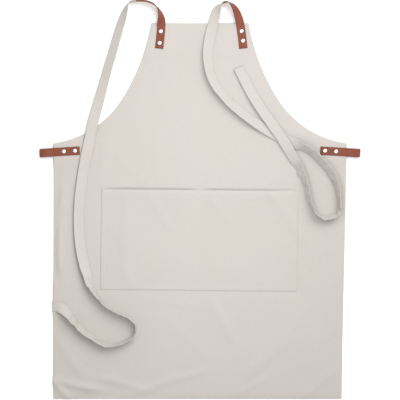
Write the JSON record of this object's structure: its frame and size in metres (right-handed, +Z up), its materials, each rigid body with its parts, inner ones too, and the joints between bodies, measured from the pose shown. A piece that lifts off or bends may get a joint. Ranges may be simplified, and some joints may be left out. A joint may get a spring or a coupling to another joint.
{
  "type": "bib apron",
  "caption": "Canvas bib apron laid flat, with a divided front pocket, riveted leather neck and side fittings and two long loose canvas straps.",
  "frame": {"origin": "on the surface that the apron lies on, in the middle of its outline without the loose straps", "axes": "+X across the apron, +Y from the foot to the bib, +Z up from the surface, out of the apron's front"},
  "size_m": [0.77, 0.9532, 0.0308],
  "materials": {
    "canvas": "undyed cotton canvas, plain weave, matt",
    "strap_canvas": "undyed cotton canvas, folded and stitched strap",
    "thread": "undyed cotton topstitching thread",
    "leather": "vegetable-tanned tan leather with darker cut edges",
    "rivet_metal": "nickel-plated domed caps"
  },
  "bodies": {
    "root": {"apron_panel": "canvas", "pocket_panel": "canvas", "left_armhole_facing": "canvas", "right_armhole_facing": "canvas", "left_strap": "strap_canvas", "right_strap": "strap_canvas", "bib_hem_stitching": "thread", "foot_hem_stitching": "thread", "left_side_stitching": "thread", "right_side_stitching": "thread", "left_armhole_stitching": "thread", "right_armhole_stitching": "thread", "pocket_mouth_stitching": "thread", "pocket_divider_stitching": "thread", "pocket_edge_stitching": "thread", "left_neck_leather": "leather", "right_neck_leather": "leather", "left_side_loop": "leather", "right_side_loop": "leather", "neck_rivet_caps": "rivet_metal", "neck_rivet_posts": "rivet_metal", "loop_rivet_caps": "rivet_metal", "loop_rivet_posts": "rivet_metal"}
  },
  "joints": []
}
